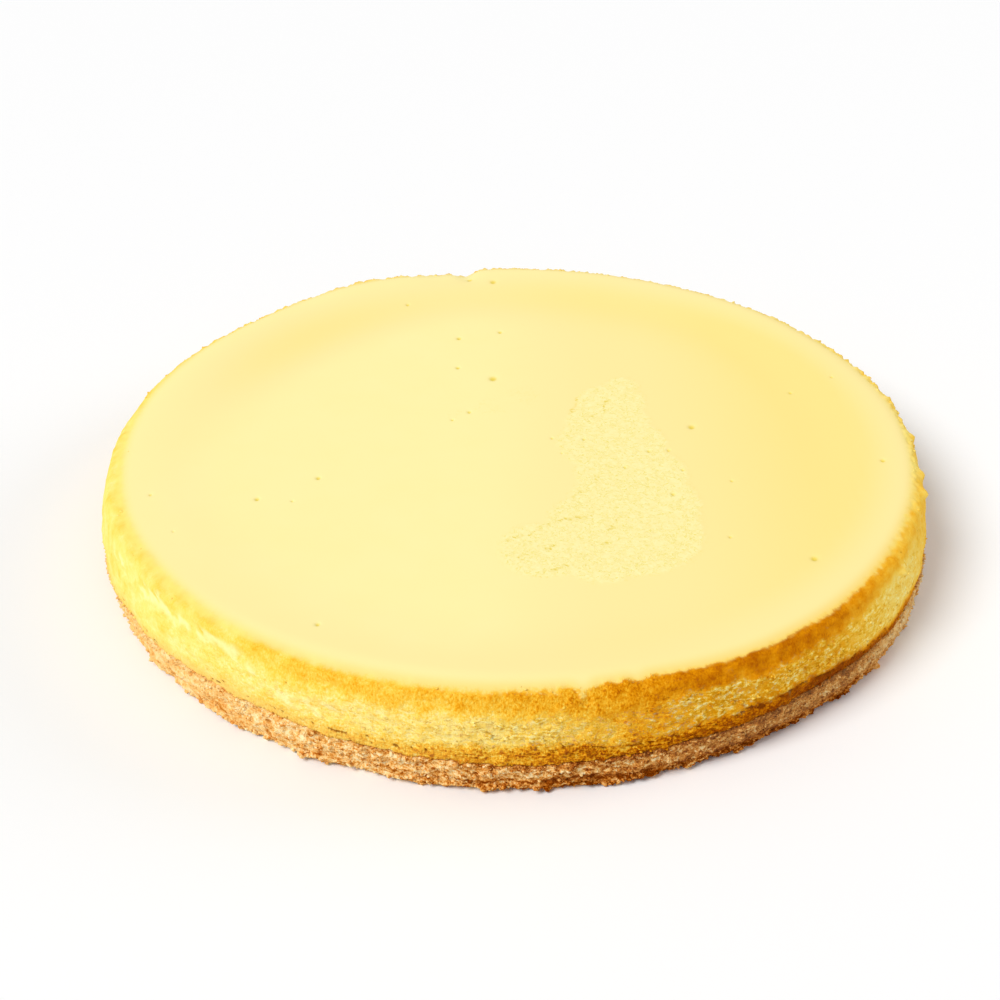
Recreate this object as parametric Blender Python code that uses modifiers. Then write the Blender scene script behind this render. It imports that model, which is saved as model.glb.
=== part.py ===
"""A whole baked cheesecake, 256 mm across and 31 mm high: set cheese filling on a layer of pressed crumb.

Frame: metres, +Z up, origin in the middle of the underside. The best side faces -Y.
Angles run round +Z from +X, so -90 degrees is the front and 90 degrees the back.
"""

import math

import bpy
import numpy as np

MM = 0.001

# The cake as it left its round tin: a drawn-in rim, a full belly low on the side, a narrower foot
CREST_RADIUS = 117.5 * MM
CREST_HEIGHT = 30.2 * MM
SHOULDER_REACH = 7.8 * MM
SHOULDER_DROP = 4.2 * MM
SHOULDER_END_ANGLE = math.radians(10.0)
BELLY_RADIUS = 128.2 * MM
BELLY_HEIGHT = 11.2 * MM
FOOT_RADIUS = 127.1 * MM

# The top sank a little inside its rim as it cooled
DISH_DEPTH = 1.3 * MM
DISH_FLOOR_RADIUS = 92.0 * MM

# Where the filling meets the crumb layer, and the gap that keeps the two solids apart
CRUMB_THICKNESS = 10.0 * MM
LAYER_GAP = 0.3 * MM
LAYER_WAVE = 0.5 * MM
LAYER_WAVE_START = 70.0 * MM
LAYER_WAVE_MIDDLE = 110.0 * MM
LAYER_STRETCHES = (
    (-134.0, 20.0, 1.2 * MM),  # thick crumb at the front left
    (-92.0, 18.0, -1.0 * MM),  # thinner crumb at the front
    (-52.0, 11.0, 1.1 * MM),  # thick crumb at the front right
)

# The flat that the cake stands on, and the ragged edge of crumb round it
STANDING_RADIUS = 121.0 * MM
RAGGED_EDGE_HEIGHT = 0.7 * MM
RAGGED_EDGE_RANGE = 0.5 * MM
RAGGED_EDGE_REACH = 1.1 * MM
RAGGED_EDGE_BAND = 1.2 * MM
RAGGED_EDGE_CRAGS = 120
FOOT_STRETCHES = (
    (-102.0, 28.0, 1.0 * MM),  # full front
    (-152.0, 16.0, -1.2 * MM),  # drawn-in left
    (-58.0, 14.0, -0.8 * MM),  # drawn-in right front
)
CRUMB_CRAG = 0.55 * MM
CRUMB_CRAG_HEIGHT = 2.0 * MM
CRUMB_CRAGS_ROUND = 128

# The side as a whole: its small lumps, and the places where it stands in or out
SIDE_LUMP = 0.45 * MM
SIDE_LUMP_HEIGHT = 3.5 * MM
SIDE_LUMPS_ROUND = 61
SIDE_STRETCHES = (
    (-9.0, 14.0, -0.9 * MM),  # flatter right
    (-163.0, 14.0, -0.4 * MM),  # flatter left
)

# Steps round the cake
FILLING_STEPS = 216
CRUMB_STEPS = 288

# How the outline departs from a circle: waves round the cake, cosine share, sine share
OUT_OF_ROUND = ((2, -0.0034, 0.0014), (3, -0.0005, -0.0036), (4, 0.0008, 0.0014))

# Stretches of the rim that stand high or low: middle angle, half width in degrees, lift
RIM_STRETCHES = (
    (-95.0, 32.0, 0.8 * MM),  # crisp front edge
    (-160.0, 24.0, -1.5 * MM),  # soft slumped left shoulder
    (120.0, 9.0, 1.1 * MM),  # raised back left
    (103.0, 5.0, -1.3 * MM),  # dip in the back rim
    (99.0, 1.8, -2.2 * MM),  # nick in that dip
    (46.0, 12.0, 0.6 * MM),  # raised back right
)
RIM_STRETCH_START = 106.0 * MM

# Flakes that stick out of the right shoulder: angle in degrees, height, reach
RIM_FLAKES = (
    (1.5, 27.0 * MM, 0.9 * MM),
    (-8.5, 26.5 * MM, 0.8 * MM),
    (-13.5, 27.0 * MM, 1.2 * MM),
    (-31.0, 24.0 * MM, 1.5 * MM),
)
FLAKE_HALF_WIDTH = math.radians(1.4)
FLAKE_HALF_HEIGHT = 1.8 * MM


def smooth_step(value):
    """0 below 0, 1 above 1, and an easy curve between."""
    value = np.clip(value, 0.0, 1.0)
    return value * value * (3.0 - 2.0 * value)


def bell(distance, half_width):
    """1 at no distance, falling off to nearly nothing at two half widths."""
    return np.exp(-((distance / half_width) ** 2))


def turn_between(angle, middle):
    """The signed turn from one angle to another, at most half a turn."""
    return (angle - middle + math.pi) % (2.0 * math.pi) - math.pi


def lumps(angle, height, cells_round, cell_height, seed):
    """Even lumps between -1 and 1 over the side, which close up round the cake."""
    rows = 12
    grid = np.random.default_rng(seed).uniform(-1.0, 1.0, (rows, cells_round))
    across = (angle / (2.0 * math.pi)) % 1.0 * cells_round
    up = np.clip(height / cell_height, 0.0, rows - 1.001)
    column, row = np.floor(across).astype(int), np.floor(up).astype(int)
    ease_across, ease_up = smooth_step(across - column), smooth_step(up - row)
    left, right = column % cells_round, (column + 1) % cells_round
    low = grid[row, left] * (1.0 - ease_across) + grid[row, right] * ease_across
    high = grid[row + 1, left] * (1.0 - ease_across) + grid[row + 1, right] * ease_across
    return low * (1.0 - ease_up) + high * ease_up


def side_radius(height):
    """Radius of the side under the shoulder, before it goes out of round."""
    shoulder_radius = CREST_RADIUS + SHOULDER_REACH * math.cos(SHOULDER_END_ANGLE)
    shoulder_height = CREST_HEIGHT - SHOULDER_DROP * (1.0 - math.sin(SHOULDER_END_ANGLE))
    if height >= BELLY_HEIGHT:
        share = (shoulder_height - height) / (shoulder_height - BELLY_HEIGHT)
        return shoulder_radius + (BELLY_RADIUS - shoulder_radius) * math.sin(0.5 * math.pi * share)
    share = (BELLY_HEIGHT - height) / BELLY_HEIGHT
    return BELLY_RADIUS - (BELLY_RADIUS - FOOT_RADIUS) * share**2


def filling_profile():
    """Top of the dish, over the rim and shoulder, down the side to the crumb layer, and in to the axis."""
    dish_floor = CREST_HEIGHT - DISH_DEPTH
    points = [(0.0, dish_floor), (0.5 * DISH_FLOOR_RADIUS, dish_floor), (DISH_FLOOR_RADIUS, dish_floor)]
    for share in (0.35, 0.7):
        radius = DISH_FLOOR_RADIUS + share * (CREST_RADIUS - DISH_FLOOR_RADIUS)
        points.append((radius, dish_floor + DISH_DEPTH * float(smooth_step(share))))
    arc_steps = 5
    for step in range(arc_steps + 1):
        angle = 0.5 * math.pi + (SHOULDER_END_ANGLE - 0.5 * math.pi) * step / arc_steps
        points.append(
            (
                CREST_RADIUS + SHOULDER_REACH * math.cos(angle),
                CREST_HEIGHT - SHOULDER_DROP * (1.0 - math.sin(angle)),
            )
        )
    underside = CRUMB_THICKNESS + LAYER_GAP
    top_of_side = points[-1][1]
    side_steps = 4
    for step in range(1, side_steps + 1):
        height = top_of_side + (underside - top_of_side) * step / side_steps
        points.append((side_radius(height), height))
    points += [(LAYER_WAVE_MIDDLE, underside), (LAYER_WAVE_START, underside), (0.0, underside)]
    return points


def crumb_profile():
    """Top of the crumb layer, down its side, under the ragged edge to the flat, and in to the axis."""
    points = [(radius, CRUMB_THICKNESS) for radius in (0.0, LAYER_WAVE_START, LAYER_WAVE_MIDDLE)]
    side_steps = 3
    for step in range(side_steps + 1):
        height = CRUMB_THICKNESS + (RAGGED_EDGE_HEIGHT - CRUMB_THICKNESS) * step / side_steps
        points.append((side_radius(height), height))
    points += [(STANDING_RADIUS, 0.0), (0.0, 0.0)]
    return points


def turned(name, profile, steps):
    """A closed mesh of (radius, height) points turned round +Z, listed from the top down the outer side."""
    outline = bpy.data.meshes.new(name + "_outline")
    edges = [(index, index + 1) for index in range(len(profile) - 1)]
    outline.from_pydata([(radius, 0.0, height) for radius, height in profile], edges, [])
    blank = bpy.data.objects.new(name + "_blank", outline)
    bpy.context.scene.collection.objects.link(blank)
    screw = blank.modifiers.new("turn", "SCREW")
    screw.axis = "Z"
    screw.steps = steps
    screw.render_steps = steps
    screw.use_merge_vertices = True
    screw.merge_threshold = 0.00001
    mesh = bpy.data.meshes.new_from_object(blank.evaluated_get(bpy.context.evaluated_depsgraph_get()))
    mesh.name = name
    bpy.data.objects.remove(blank)
    bpy.data.meshes.remove(outline)
    return mesh


def points_of(mesh):
    """Radius, angle and height of every point of a mesh."""
    points = np.empty(len(mesh.vertices) * 3, np.float64)
    mesh.vertices.foreach_get("co", points)
    x, y, z = points.reshape(-1, 3).T
    return np.hypot(x, y), np.arctan2(y, x), z


def move_points(mesh, radius, angle, height):
    """Puts every point of a mesh at a radius, angle and height."""
    points = np.stack([radius * np.cos(angle), radius * np.sin(angle), height], axis=1)
    mesh.vertices.foreach_set("co", points.astype(np.float32).ravel())
    mesh.update()


def out_of_round(angle):
    """What the nominal radius is multiplied by at an angle."""
    factor = np.ones_like(angle)
    for waves, cosine, sine in OUT_OF_ROUND:
        factor += cosine * np.cos(waves * angle) + sine * np.sin(waves * angle)
    return factor


def stretch_sum(angle, stretches):
    """The stretches of the side that stand out or in, added up at an angle."""
    total = np.zeros_like(angle)
    for middle, half_width, amount in stretches:
        total += amount * bell(turn_between(angle, math.radians(middle)), math.radians(half_width))
    return total


def layer_wave(radius, angle):
    """How far the join of the two layers rises or falls towards the side."""
    fade = smooth_step((radius - LAYER_WAVE_START) / (FOOT_RADIUS - LAYER_WAVE_START))
    return fade * (stretch_sum(angle, LAYER_STRETCHES) + LAYER_WAVE * np.sin(5.0 * angle))


def rim_lift(radius, angle):
    """How far the top rises or falls near the rim."""
    fade = smooth_step((radius - RIM_STRETCH_START) / (CREST_RADIUS + SHOULDER_REACH - RIM_STRETCH_START))
    return fade * stretch_sum(angle, RIM_STRETCHES)


def flake_reach(angle, height):
    """How far the flakes stand out of the shoulder."""
    reach = np.zeros_like(angle)
    for middle, level, length in RIM_FLAKES:
        round_it = bell(turn_between(angle, math.radians(middle)), FLAKE_HALF_WIDTH)
        reach += length * round_it * bell(height - level, FLAKE_HALF_HEIGHT)
    return reach


def shape_filling(mesh):
    """Gives the turned filling its uneven rim, lumpy side and wavy underside."""
    radius, angle, height = points_of(mesh)
    underside = CRUMB_THICKNESS + LAYER_GAP
    above = (height - underside) / (CREST_HEIGHT - underside)
    on_side = smooth_step((radius - CREST_RADIUS) / SHOULDER_REACH)
    lump = SIDE_LUMP * lumps(angle, height, SIDE_LUMPS_ROUND, SIDE_LUMP_HEIGHT, seed=11)
    reach = on_side * (lump + flake_reach(angle, height) + stretch_sum(angle, SIDE_STRETCHES))
    new_height = height + rim_lift(radius, angle) * above + layer_wave(radius, angle) * (1.0 - above)
    move_points(mesh, (radius + reach) * out_of_round(angle), angle, new_height)


def shape_crumb(mesh):
    """Gives the turned crumb layer its crags and its ragged, lifted lower edge."""
    radius, angle, height = points_of(mesh)
    above = height / CRUMB_THICKNESS
    on_side = radius > 0.5 * (STANDING_RADIUS + FOOT_RADIUS)
    edge = on_side * bell(height - RAGGED_EDGE_HEIGHT, RAGGED_EDGE_BAND)
    crag = CRUMB_CRAG * lumps(angle, height, CRUMB_CRAGS_ROUND, CRUMB_CRAG_HEIGHT, seed=23)
    ragged = lumps(angle, np.zeros_like(height), RAGGED_EDGE_CRAGS, CRUMB_CRAG_HEIGHT, seed=31)
    foot = (1.0 - above) * stretch_sum(angle, FOOT_STRETCHES)
    side = stretch_sum(angle, SIDE_STRETCHES)
    reach = on_side * (crag + foot + side) + edge * RAGGED_EDGE_REACH * ragged
    new_height = height + layer_wave(radius, angle) * above + edge * RAGGED_EDGE_RANGE * ragged
    move_points(mesh, (radius + reach) * out_of_round(angle), angle, new_height)


def baked_material(name, colour, roughness):
    """A plain baked surface: colour, roughness, no metal."""
    material = bpy.data.materials.new(name)
    material.use_nodes = True
    shader = material.node_tree.nodes["Principled BSDF"]
    shader.inputs["Base Color"].default_value = (*colour, 1.0)
    shader.inputs["Roughness"].default_value = roughness
    shader.inputs["Metallic"].default_value = 0.0
    material.diffuse_color = (*colour, 1.0)
    return material


def add_layer(name, mesh, material, collection):
    """One named layer of the cake, shaded smooth but for its sharp edges."""
    mesh.materials.clear()
    mesh.materials.append(material)
    mesh.shade_smooth()
    mesh.set_sharp_from_angle(angle=math.radians(50.0))
    layer = bpy.data.objects.new(name, mesh)
    collection.objects.link(layer)
    return layer


def build():
    for old in list(bpy.data.objects):
        bpy.data.objects.remove(old, do_unlink=True)
    cake = bpy.data.collections.new("baked_cheesecake")
    bpy.context.scene.collection.children.link(cake)

    filling = turned("cheese_filling", filling_profile(), FILLING_STEPS)
    shape_filling(filling)
    add_layer("cheese_filling", filling, baked_material("baked_cheese", (0.94, 0.80, 0.34), 0.45), cake)

    crumb = turned("crumb_layer", crumb_profile(), CRUMB_STEPS)
    shape_crumb(crumb)
    add_layer("crumb_layer", crumb, baked_material("pressed_crumb", (0.58, 0.32, 0.12), 0.85), cake)


build()
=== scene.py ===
"""The looks of a whole baked cheesecake, 256 mm across: pale skin, browned porous side, pressed crumb.

Metres, +Z up, origin in the middle of the underside, best side at -Y.
Angles run round +Z from +X, so -90 degrees is the front and 90 degrees the back.
"""

import math

import bpy
import numpy as np
from mathutils import Matrix, Vector, geometry, noise


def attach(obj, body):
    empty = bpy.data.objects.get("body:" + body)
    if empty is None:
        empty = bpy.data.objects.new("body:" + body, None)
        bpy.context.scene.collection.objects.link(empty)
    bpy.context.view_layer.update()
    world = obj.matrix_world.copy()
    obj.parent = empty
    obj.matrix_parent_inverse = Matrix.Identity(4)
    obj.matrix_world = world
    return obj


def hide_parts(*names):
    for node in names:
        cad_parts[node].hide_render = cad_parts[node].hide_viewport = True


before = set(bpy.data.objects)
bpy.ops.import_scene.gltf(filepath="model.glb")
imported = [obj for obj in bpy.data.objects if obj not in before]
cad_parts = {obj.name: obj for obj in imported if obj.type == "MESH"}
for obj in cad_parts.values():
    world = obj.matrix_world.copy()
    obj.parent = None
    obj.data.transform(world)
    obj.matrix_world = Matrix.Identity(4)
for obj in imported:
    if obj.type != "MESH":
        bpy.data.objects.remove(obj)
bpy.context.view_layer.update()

# Crumb layer
# Biscuit crumb, pressed about 10 mm thick into the foot of a round tin and baked under the filling.
# Its side shows packed grains, and its lower edge broke into small crags as the tin came off.

MM = 0.001
CRUMB_THICKNESS = 10.0 * MM
STANDING_RADIUS = 121.0 * MM
FOOT_RADIUS = 127.1 * MM
BELLY_RADIUS = 128.2 * MM
BELLY_HEIGHT = 11.2 * MM
CRUMB_COLUMNS = 1600
CRUMB_ROW = 0.42 * MM

# Stretches of the side: middle angle and half width in degrees, amount
LAYER_WAVE = 0.5 * MM
LAYER_WAVE_START = 70.0 * MM
LAYER_STRETCHES = ((-134, 20, 1.2 * MM), (-92, 18, -1.0 * MM), (-52, 11, 1.1 * MM))
FOOT_STRETCHES = ((-102, 28, 1.0 * MM), (-152, 16, -1.2 * MM), (-58, 14, -0.8 * MM))
SIDE_STRETCHES = ((-9, 14, -0.9 * MM), (-163, 14, -0.4 * MM))
GROOVE_STRETCHES = ((-84, 26, 0.8), (40, 60, 0.6))
DARK_CRUMB_STRETCHES = ((-62, 32, 1), (90, 60, 0.6))
ASHEN_STRETCHES = ((-48, 26, 1), (-10, 22, 0.5))

# How far it is out of round: waves round the cake, and their shares of the radius
OUT_OF_ROUND = ((2, -0.0034, 0.0014), (3, -0.0005, -0.0036), (4, 0.0008, 0.0014))

RAGGED_EDGE_HEIGHT = 0.7 * MM
RAGGED_EDGE_RANGE = 0.5 * MM
RAGGED_EDGE_REACH = 1.1 * MM
RAGGED_EDGE_BAND = 1.2 * MM
RAGGED_EDGE_CRAGS = 120
CRUMB_CRAG = 0.55 * MM
CRUMB_CRAG_HEIGHT = 2.0 * MM
CRUMB_CRAGS_ROUND = 128
GROOVE_HEIGHT = 3.7 * MM
GROOVE_HALF_WIDTH = 0.9 * MM
GROOVE_WANDER = 0.8 * MM
CLUMP_SIZE = 3.4 * MM
GRAIN_SIZE = 1.8 * MM
GRIT_SIZE = 1.0 * MM
TATTER_SIZE = 2.2 * MM
JOIN_WOBBLE = 0.45 * MM

# Spacing of the points next to the edge of a hidden disc
HIDDEN_SPACING = 3.0 * MM

# Screen colours: palest to most toasted crumb, painted grey shade for its right, painted shade for its
# hollows
CRUMB_SHADES = (
    (0.0, (255, 232, 180)),
    (0.25, (250, 204, 128)),
    (0.5, (226, 154, 68)),
    (0.75, (182, 100, 22)),
    (1.0, (124, 54, 0)),
)
ASHEN_DARK = (132, 90, 42)
ASHEN_PALE = (236, 198, 136)
CRUMB_HOLLOW_SHADE = (126, 46, 2)

# How toasted the crumb is round the cake: angle in degrees, share
CRUMB_TOAST = (
    (-180, 0.32), (-150, 0.24), (-118, 0.27), (-104, 0.34), (-92, 0.5), (-80, 0.64), (-68, 0.66),
    (-58, 0.76), (-46, 0.7), (-38, 0.4), (-30, 0.2), (-20, 0.26), (30, 0.44), (90, 0.52), (150, 0.42),
)

# How strongly single grains differ in colour round the cake
CRUMB_GRAININESS = (
    (-180, 0.28), (-135, 0.32), (-118, 0.8), (-104, 1.15), (-75, 1.3), (-50, 1.1), (-36, 0.65),
    (-10, 0.6), (90, 1),
)


def within(value):
    """A value kept between 0 and 1."""
    return np.clip(value, 0.0, 1.0)


def smooth_step(value):
    """0 below 0, 1 above 1, and an easy curve between."""
    value = within(value)
    return value * value * (3.0 - 2.0 * value)


def bell(distance, half_width):
    """1 at no distance, falling off to nearly nothing at two half widths."""
    return np.exp(-((distance / half_width) ** 2))


def turn_between(angle, middle):
    """The signed turn from one angle to another, at most half a turn."""
    return (angle - middle + math.pi) % (2.0 * math.pi) - math.pi


def stretch_sum(angle, stretches):
    """Stretches round the cake, added up at an angle."""
    total = np.zeros_like(angle)
    for middle, half_width, amount in stretches:
        total += amount * bell(turn_between(angle, math.radians(middle)), math.radians(half_width))
    return total


def round_the_cake(angle, stops):
    """A value read at an angle off (degrees, value) stops, with even runs between them."""
    places, values = zip(*stops)
    return np.interp(angle, np.radians(places), values, period=2.0 * math.pi)


def out_of_round(angle):
    """What the nominal radius is multiplied by at an angle."""
    factor = np.ones_like(angle)
    for waves, cosine, sine in OUT_OF_ROUND:
        factor += cosine * np.cos(waves * angle) + sine * np.sin(waves * angle)
    return factor


def lumps(angle, height, cells_round, cell_height, seed):
    """Even lumps between -1 and 1 over the side, which close up round the cake."""
    rows = 12
    grid = np.random.default_rng(seed).uniform(-1.0, 1.0, (rows, cells_round))
    across = (angle / (2.0 * math.pi)) % 1.0 * cells_round
    up = np.clip(height / cell_height, 0.0, rows - 1.001)
    column, row = np.floor(across).astype(int), np.floor(up).astype(int)
    ease_across, ease_up = smooth_step(across - column), smooth_step(up - row)
    left, right = column % cells_round, (column + 1) % cells_round
    low = grid[row, left] * (1.0 - ease_across) + grid[row, right] * ease_across
    high = grid[row + 1, left] * (1.0 - ease_across) + grid[row + 1, right] * ease_across
    return low * (1.0 - ease_up) + high * ease_up


def layer_wave(radius, angle):
    """How far the join of the two layers rises or falls towards the side."""
    fade = smooth_step((radius - LAYER_WAVE_START) / (FOOT_RADIUS - LAYER_WAVE_START))
    return fade * (stretch_sum(angle, LAYER_STRETCHES) + LAYER_WAVE * np.sin(5.0 * angle))


def join_wobble(radius, angle):
    """How far the join wanders up and down over short stretches, at the side alone."""
    ring = np.stack([np.cos(angle), np.sin(angle), np.zeros_like(angle)], axis=1) * FOOT_RADIUS
    fade = smooth_step((radius - STANDING_RADIUS) / (3.0 * MM))
    wander = fractal(ring, 6.0 * MM, 3, seed=16) + 0.5 * fractal(ring, 1.6 * MM, 2, seed=17)
    return fade * JOIN_WOBBLE * wander


def around(radius, angle, height):
    """Points at a radius, angle and height."""
    return np.stack([radius * np.cos(angle), radius * np.sin(angle), height], axis=-1)


def even_turns(count):
    """Angles at an even spacing round the cake."""
    return np.arange(count) * 2.0 * math.pi / count


def radius_and_angle(spots):
    """Radii and angles of (x, y) points."""
    return np.hypot(*spots.T), np.arctan2(spots[:, 1], spots[:, 0])


def noise_places(points, size, seed, flat):
    """Points counted in sizes, flattened in Z and moved to a seed's own part of the noise."""
    shift = Vector((17.1 * seed, 3.7 * seed, 9.3 * seed))
    scale = np.array([1.0, 1.0, 1.0 / flat]) / size
    return [Vector(point) + shift for point in points * scale]


def fractal(points, size, octaves, seed, flat=1.0):
    """Cloudy noise, mostly between -1 and 1, with features of a size, flattened in Z."""
    places = noise_places(points, size, seed, flat)
    return np.array([noise.fractal(place, 1.0, 2.0, octaves) for place in places]) * 1.6


def cells(points, size, seed, flat=1.0):
    """Distance to the nearest of scattered spots, in sizes, and that spot's own number from 0 to 1."""
    near, own = np.empty(len(points)), np.empty(len(points))
    for index, place in enumerate(noise_places(points, size, seed, flat)):
        distances, spots = noise.voronoi(place)
        near[index] = distances[0]
        own[index] = (7.13 * spots[0].x + 3.71 * spots[0].y + 5.37 * spots[0].z) % 1.0
    return near, own


def even_rows(profile, spacing):
    """Points along a (radius, height) profile at an even spacing."""
    profile = np.array(profile)
    along = np.concatenate([[0.0], np.cumsum(np.hypot(*np.diff(profile, axis=0).T))])
    steps = max(2, round(along[-1] / spacing) + 1)
    wanted = np.linspace(0.0, along[-1], steps)
    return np.stack([np.interp(wanted, along, profile[:, part]) for part in (0, 1)], axis=1)


def disc(columns, radius, inner):
    """Triangles of a flat disc: a ring of points, and inner (x, y) points joined to it."""
    turn = even_turns(columns)
    ring = np.stack([radius * np.cos(turn), radius * np.sin(turn)], axis=1)
    flat = [Vector(point) for point in np.concatenate([ring, inner])]
    found = geometry.delaunay_2d_cdt(flat, [], [], 0, 0.0)
    if len(found[0]) != len(flat):
        raise ValueError("two points of a disc fall together")
    return np.array([face for face in found[2]])


def ring_quads(rows, columns):
    """Quads between rows of points that run round the cake, the rows listed down the outer side."""
    row, column = np.meshgrid(np.arange(rows - 1), np.arange(columns), indexing="ij")
    following = (column + 1) % columns
    corners = (row, column), (row + 1, column), (row + 1, following), (row, following)
    return np.stack([r * columns + c for r, c in corners], axis=-1).reshape(-1, 4)


def coarse_spots(radius, spacing):
    """Inner points of a hidden disc: rings whose spacing grows towards the middle."""
    spots = [(0.0, 0.0)]
    while radius > 2.0 * spacing:
        radius -= spacing
        count = max(6, round(2.0 * math.pi * radius / spacing))
        turn = (np.arange(count) + 0.37) * 2.0 * math.pi / count
        spots += list(zip(radius * np.cos(turn), radius * np.sin(turn)))
        spacing *= 1.6
    return np.array(spots)


def capping_discs(rows, columns, top_spots, base_spots):
    """Triangles inside the first and last row. The inner points of both follow the rows' points."""
    on_side = len(rows) * columns
    top = disc(columns, rows[0, 0], top_spots)
    top[top >= columns] += on_side - columns
    base = disc(columns, rows[-1, 0], base_spots)[:, ::-1]
    base = base + np.where(base >= columns, on_side + len(top_spots), on_side) - columns
    return np.concatenate([top, base])


def new_piece(name, points, quads, triangles, material, values):
    """A closed mesh object in the scene, with a value for each point under each name."""
    mesh = bpy.data.meshes.new(name)
    mesh.from_pydata(points.tolist(), [], quads.tolist() + triangles.tolist())
    mesh.shade_smooth()
    mesh.materials.append(material)
    for label, value in values.items():
        layer = mesh.attributes.new(label, "FLOAT", "POINT")
        layer.data.foreach_set("value", value.astype(np.float32))
    piece = bpy.data.objects.new(name, mesh)
    bpy.context.scene.collection.objects.link(piece)
    return piece


def linear(red, green, blue):
    """A colour given as it looks on a screen, 0 to 255, as Blender's shaders take it."""
    share = np.array([red, green, blue]) / 255.0
    light = np.where(share <= 0.04045, share / 12.92, ((share + 0.055) / 1.055) ** 2.4)
    return (*light.tolist(), 1.0)


def add_node(tree, kind, inputs=(), **settings):
    """A node with its settings made, and its inputs given values or linked to other nodes' outputs."""
    added = tree.nodes.new(kind)
    for name, value in settings.items():
        setattr(added, name, value)
    for name, value in dict(inputs).items():
        if isinstance(value, bpy.types.NodeSocket):
            tree.links.new(value, added.inputs[name])
        else:
            added.inputs[name].default_value = value
    return added


def maths(tree, operation, *values):
    """The result of a sum on numbers or on other nodes' outputs."""
    return add_node(tree, "ShaderNodeMath", enumerate(values), operation=operation).outputs[0]


def times(tree, first, second):
    """One number or output multiplied by another."""
    return maths(tree, "MULTIPLY", first, second)


def weighted(tree, start, *parts):
    """A number or output, with (output, weight) parts added, each taken from its middle of 0.5."""
    total = start
    for part, weight in parts:
        from_middle = maths(tree, "SUBTRACT", part, 0.5)
        total = maths(tree, "ADD", total, times(tree, from_middle, weight))
    return total


def value_of(tree, label):
    """The number that a piece's points carry under a name."""
    return add_node(tree, "ShaderNodeAttribute", attribute_name=label).outputs["Fac"]


def cloud(tree, size, detail, roughness=0.6, stretch=(1.0, 1.0, 1.0)):
    """Cloudy noise in the piece's own space, 0 to 1, with features of a size."""
    place = add_node(tree, "ShaderNodeTexCoord").outputs["Object"]
    placed = add_node(tree, "ShaderNodeMapping", {"Vector": place, "Scale": stretch}).outputs["Vector"]
    inputs = {"Vector": placed, "Scale": 1.0 / size, "Detail": detail, "Roughness": roughness}
    return add_node(tree, "ShaderNodeTexNoise", inputs).outputs["Fac"]


def spread(tree, value, low, high, least=0.0, most=1.0):
    """A value brought from low..high to least..most with an easy curve, and kept there."""
    names = {"Value": value, "From Min": low, "From Max": high, "To Min": least, "To Max": most}
    return add_node(tree, "ShaderNodeMapRange", names, interpolation_type="SMOOTHSTEP").outputs["Result"]


def ramp(tree, value, stops):
    """A colour read off a scale of (place, colour) stops."""
    added = add_node(tree, "ShaderNodeValToRGB", {"Fac": value})
    scale = added.color_ramp.elements
    while len(scale) < len(stops):
        scale.new(0.5)
    for element, (place, colour) in zip(scale, stops):
        element.position = place
        element.color = linear(*colour)
    return added.outputs["Color"]


def blend(tree, share, first, second):
    """The first colour, turning into the second by a share."""
    mixed = add_node(tree, "ShaderNodeMix", {0: share}, data_type="RGBA")
    for socket, colour in ((mixed.inputs[6], first), (mixed.inputs[7], second)):
        if isinstance(colour, tuple):
            socket.default_value = linear(*colour)
        else:
            tree.links.new(colour, socket)
    return mixed.outputs[2]


def bumps(tree, height, depth, under=None):
    """Fine relief of a depth, laid over the relief under it."""
    inputs = {"Height": height, "Distance": depth, "Strength": 1.0}
    if under is not None:
        inputs["Normal"] = under
    return add_node(tree, "ShaderNodeBump", inputs).outputs["Normal"]


def empty_material(name, display):
    """A node material with its main shader, and its colour in a plain view."""
    material = bpy.data.materials.new(name)
    material.use_nodes = True
    material.diffuse_color = linear(*display)
    tree = material.node_tree
    return material, tree, tree.nodes["Principled BSDF"]


def crumb_material():
    """Baked biscuit crumb: whitish to tan grains, painted shade in the hollows, painted grey shade at the
    shaded right.
    """
    material, tree, shader = empty_material("pressed crumb", (205, 145, 85))
    grit = cloud(tree, 0.5 * MM, 3.0, 0.7)
    fine = cloud(tree, 1.1 * MM, 3.0, 0.7)
    flakes = cloud(tree, 1.8 * MM, 3.0, 0.65, stretch=(1.0, 1.0, 2.2))
    broad = cloud(tree, 3.0 * MM, 2.0)
    own = value_of(tree, "own_shade")
    uneven = weighted(tree, own, (grit, 1.2), (fine, 0.6), (flakes, 1.6), (broad, 0.6))
    # How toasted the crumb is, with painted shade at its foot
    shade = maths(tree, "MULTIPLY_ADD", uneven, value_of(tree, "grainy"), value_of(tree, "toast_and_shade"))
    colour = ramp(tree, shade, CRUMB_SHADES)
    # Painted grey shade towards the shaded right
    grey = blend(tree, fine, ASHEN_DARK, ASHEN_PALE)
    colour = blend(tree, times(tree, value_of(tree, "ashen"), 0.3), colour, grey)
    # Painted shade: darker reddish brown where the crumb's relief is low and in the groove
    painted_hollow_shade = weighted(tree, value_of(tree, "painted_hollow_shade"), (grit, 0.5))
    colour = blend(tree, spread(tree, painted_hollow_shade, 0.25, 1.0, 0.0, 0.85), colour, CRUMB_HOLLOW_SHADE)
    tree.links.new(colour, shader.inputs["Base Color"])
    tree.links.new(spread(tree, fine, 0.2, 0.8, 0.75, 0.95), shader.inputs["Roughness"])
    tree.links.new(bumps(tree, weighted(tree, fine, (flakes, 1.0)), 0.4 * MM), shader.inputs["Normal"])
    shader.inputs["Specular IOR Level"].default_value = 0.0
    return material


def crumb_rows():
    """Down the side of the crumb layer and in under its ragged edge to the flat that it stands on."""
    heights = np.linspace(CRUMB_THICKNESS, RAGGED_EDGE_HEIGHT, 6)
    side = [(side_radius(height), height) for height in heights]
    return even_rows(side + [(STANDING_RADIUS, 0.0)], CRUMB_ROW)


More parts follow.
